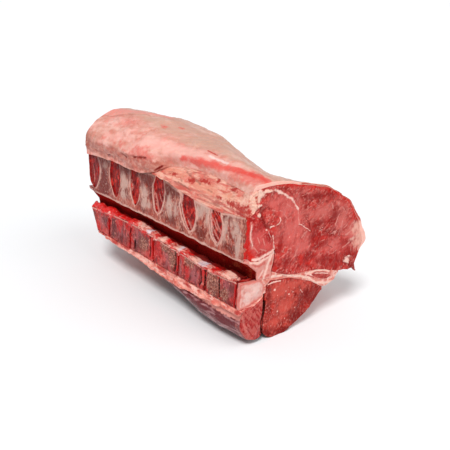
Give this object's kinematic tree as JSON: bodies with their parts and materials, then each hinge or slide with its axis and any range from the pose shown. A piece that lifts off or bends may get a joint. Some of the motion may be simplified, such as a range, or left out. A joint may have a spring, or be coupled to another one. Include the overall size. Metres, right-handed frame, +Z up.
{
  "type": "bone-in beef short loin",
  "caption": "Raw half loin of beef on the bone: sawn backbone with its canal and feather bones, loin eye, tenderloin and fat cover.",
  "frame": {"origin": "centre of the bounding box, on the surface that the joint rests on", "axes": "+Z up; Y along the backbone, with the cut face at the rump end towards -Y and the ribs towards +Y; the sawn backbone faces -X and the flank +X"},
  "size_m": [0.2192, 0.377, 0.2306],
  "materials": {
    "surface_fat": "satin",
    "seam_fat": "satin",
    "loin_muscle": "satin",
    "tenderloin_muscle": "satin",
    "dark_muscle": "satin",
    "sawn_bone": "satin",
    "cartilage": "satin"
  },
  "bodies": {
    "root": {"back_fascia": "seam_fat", "canal_fat": "seam_fat", "chine_fat": "surface_fat", "disc_1": "cartilage", "disc_2": "cartilage", "disc_3": "cartilage", "disc_4": "cartilage", "disc_5": "cartilage", "disc_6": "cartilage", "end_plate": "cartilage", "fat_cover": "surface_fat", "flank_strip": "loin_muscle", "gluteus": "loin_muscle", "interspinous_muscle_1": "loin_muscle", "interspinous_muscle_2": "loin_muscle", "interspinous_muscle_3": "loin_muscle", "interspinous_muscle_4": "loin_muscle", "interspinous_muscle_5": "loin_muscle", "interspinous_muscle_6": "loin_muscle", "loin_eye": "loin_muscle", "multifidus": "loin_muscle", "psoas_minor": "dark_muscle", "tenderloin": "tenderloin_muscle", "transverse_layer": "seam_fat", "vertebra_1": "sawn_bone", "vertebra_2": "sawn_bone", "vertebra_3": "sawn_bone", "vertebra_4": "sawn_bone", "vertebra_5": "sawn_bone", "vertebra_6": "sawn_bone"}
  },
  "joints": []
}
